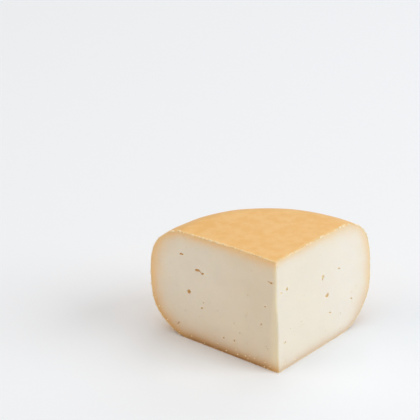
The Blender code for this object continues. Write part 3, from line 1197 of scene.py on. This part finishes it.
class AddRind(bpy.types.Operator):
    """Adds the rind: a thin satin coat over the top, belly and base"""

    bl_idname = "goat_gouda.add_rind"
    bl_label = "Add Rind"

    def execute(self, context):
        gouda = context.scene.goat_gouda
        values = {
            "Columns": gouda.rind.columns,
            "Rind Material": rind_finish(gouda.rind, gouda.cuts),
        }
        rind = grown("rind_coat", 0.0, coat_tree, values)
        coat = rind.modifiers.new("coat", "SOLIDIFY")
        coat.thickness = gouda.rind.coat
        coat.offset = -1.0
        settle(rind, SMOOTH_PIECE)
        return {"FINISHED"}


class AddLip(bpy.types.Operator):
    """Adds the ragged lip that the knife left along the rind's cut edges"""

    bl_idname = "goat_gouda.add_lip"
    bl_label = "Add Ragged Lip"

    def execute(self, context):
        gouda = context.scene.goat_gouda
        values = {
            "Lip Radius": gouda.rind.lip,
            "Raggedness": gouda.rind.lip_ragged,
            "Seed": gouda.rind.seed,
            "Lip Material": flake_finish("gouda_lip", gouda.rind, gouda.cuts, middle=0.57),
        }
        lip = grown("rim_lip", gouda.rind.coat * LIP_DEPTH, lip_tree, values)
        settle(lip, RAGGED_PIECE)
        return {"FINISHED"}


class AddCrumbs(bpy.types.Operator):
    """Adds the crumbs and torn flecks that cling along the cut rims"""

    bl_idname = "goat_gouda.add_crumbs"
    bl_label = "Add Crumbs"

    def execute(self, context):
        gouda = context.scene.goat_gouda
        rows = [
            (face, along, up, long, width, width / 2, slope)
            for face, along, up, long, width, slope in both_cuts(LEFT_FLECKS, RIGHT_FLECKS)
        ]
        spots = face_spots("fleck_spots", gouda.cuts, rows, FLECK_RISE)
        values = {
            "Crumbs": gouda.rind.crumbs,
            "Crumb Size": gouda.rind.crumb_size,
            "Scatter": CRUMB_SCATTER,
            "Snap Distance": SNAP_DISTANCE,
            "Seed": gouda.rind.seed,
            "Fleck Spots": spots,
            "Crumb Material": flake_finish("gouda_crumb", gouda.rind, gouda.cuts, middle=0.38),
        }
        settle(grown("rim_crumbs", -CRUMB_RISE, crumb_tree, values), RAGGED_PIECE)
        bpy.data.objects.remove(spots)
        return {"FINISHED"}


def add_light(name, place, size, watts, tint):
    """A round soft light that shines on the wedge."""
    lamp = bpy.data.lights.new(name, "AREA")
    lamp.shape = "DISK"
    lamp.size = size
    lamp.energy = watts
    lamp.color = tint
    light = add_piece(name, lamp)
    light.location = place
    towards = LIGHTS_AIM - Vector(place)
    light.rotation_euler = towards.to_track_quat("-Z", "Y").to_euler()
    light.visible_camera = False


def add_camera():
    lens = bpy.data.cameras.new("camera")
    lens.sensor_width = 36.0
    lens.lens = CAMERA_LENS
    lens.clip_start = 0.05
    camera = add_piece("camera", lens)
    turned = (
        Matrix.Rotation(CAMERA_TURN, 4, "Z")
        @ Matrix.Rotation(math.pi / 2 - CAMERA_DROP, 4, "X")
        @ Matrix.Rotation(CAMERA_ROLL, 4, "Z")
    )
    camera.matrix_world = Matrix.Translation(CAMERA_PLACE) @ turned
    bpy.context.scene.camera = camera


class AddStage(bpy.types.Operator):
    """Adds the plain pale floor, the soft studio light and the camera"""

    bl_idname = "goat_gouda.add_stage"
    bl_label = "Add Stage"

    def execute(self, context):
        look = context.scene.goat_gouda.stage
        half = look.floor_size / 2
        corners = [(-half, -half, 0), (half, -half, 0), (half, half, 0), (-half, half, 0)]
        mesh = bpy.data.meshes.new("floor")
        mesh.from_pydata(corners, [], [(0, 1, 2, 3)])
        matt = {"Base Color": look.floor, "Roughness": 0.7, "Specular IOR Level": 0.2}
        mesh.materials.append(FinishMaker("studio_floor").finish(matt))
        add_piece("floor", mesh)

        world = bpy.data.worlds.new("surroundings")
        world.use_nodes = True
        background = world.node_tree.nodes["Background"].inputs
        background["Color"].default_value = (1.0, 1.0, 1.0, 1.0)
        background["Strength"].default_value = look.surroundings
        context.scene.world = world

        add_light("overhead", (0.0, 0.2, 4.0), 4.0, look.overhead_power, (1.0, 1.0, 1.0))
        add_light("key", (3.0, -1.2, 2.2), 2.6, look.key_power, (0.96, 0.98, 1.0))
        add_light("back", (1.6, 3.0, 2.4), 3.0, look.back_power, (1.0, 1.0, 1.0))
        add_light("warm_side", (-2.8, -0.2, 2.4), 2.6, look.warm_power, (1.0, 0.80, 0.625))
        add_camera()
        context.scene.view_settings.view_transform = "Standard"
        return {"FINISHED"}


class GoatGoudaPanel(bpy.types.Panel):
    """Lists the wedge's pieces and sizes"""

    bl_idname = "VIEW3D_PT_goat_gouda"
    bl_label = "Goat Gouda"
    bl_space_type = "VIEW_3D"
    bl_region_type = "UI"
    bl_category = "Goat Gouda"

    def draw(self, context):
        gouda = context.scene.goat_gouda
        for step in STEPS:
            self.layout.operator(step.bl_idname)
        for group in (gouda.wheel, gouda.cuts, gouda.paste, gouda.rind, gouda.stage):
            box = self.layout.box()
            for name in group.__annotations__:
                box.prop(group, name)


GROUPS = (WheelShape, CutShape, PasteLook, RindLook, StageLook, GoatGouda)
STEPS = (AddPaste, AddRind, AddLip, AddCrumbs, AddStage)


def register():
    for made in (*GROUPS, *STEPS, GoatGoudaPanel):
        bpy.utils.register_class(made)
    bpy.types.Scene.goat_gouda = PointerProperty(type=GoatGouda)


def unregister():
    del bpy.types.Scene.goat_gouda
    for made in reversed((*GROUPS, *STEPS, GoatGoudaPanel)):
        bpy.utils.unregister_class(made)


def main():
    register()
    for step in STEPS:
        family, action = step.bl_idname.split(".")
        getattr(getattr(bpy.ops, family), action)()


if __name__ == "__main__":
    main()
